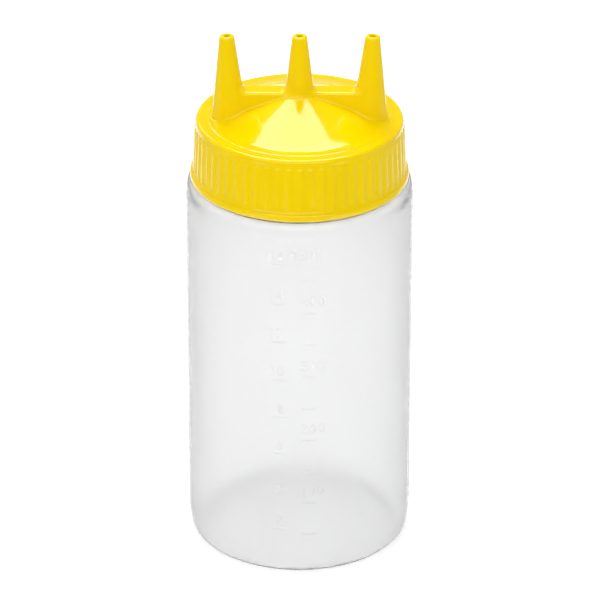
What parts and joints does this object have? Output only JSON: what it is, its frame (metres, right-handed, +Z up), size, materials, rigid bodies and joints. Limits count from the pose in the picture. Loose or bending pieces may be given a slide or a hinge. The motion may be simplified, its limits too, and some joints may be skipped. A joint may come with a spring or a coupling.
{
  "type": "sauce squeeze bottle with multi-nozzle screw cap",
  "caption": "Translucent wide-mouth squeeze bottle for sauces, with a ribbed screw cap whose row of tapered nozzles pours parallel lines, and raised fill scales on its wall.",
  "frame": {"origin": "centre of the base, on the surface that the bottle stands on", "axes": "+Z up along the bottle's axis, X along the row of nozzles, the raised scales face -Y"},
  "size_m": [0.0752, 0.0752, 0.1817],
  "materials": {
    "bottle_plastic": "frosted translucent",
    "ring_foam": "matte",
    "cap_plastic": "gloss"
  },
  "bodies": {
    "bottle_body": {"bottle": "bottle_plastic"},
    "ring_body": {"sealing_ring": "ring_foam"},
    "cap_body": {"cap": "cap_plastic"}
  },
  "joints": [
    {"name": "cap_rise", "type": "slide", "parent": "bottle_body", "child": "ring_body", "axis": [0, 0, 1], "range_m": [0, 0.0053]},
    {"name": "cap_turn", "type": "hinge", "parent": "ring_body", "child": "cap_body", "pos_m": [0, 0, 0.1417], "axis": [0, 0, 1], "range_deg": [0, 450]}
  ],
  "couplings": [
    {"joint": "cap_rise", "follows": "cap_turn", "m_per_rad": 0.00067322}
  ]
}
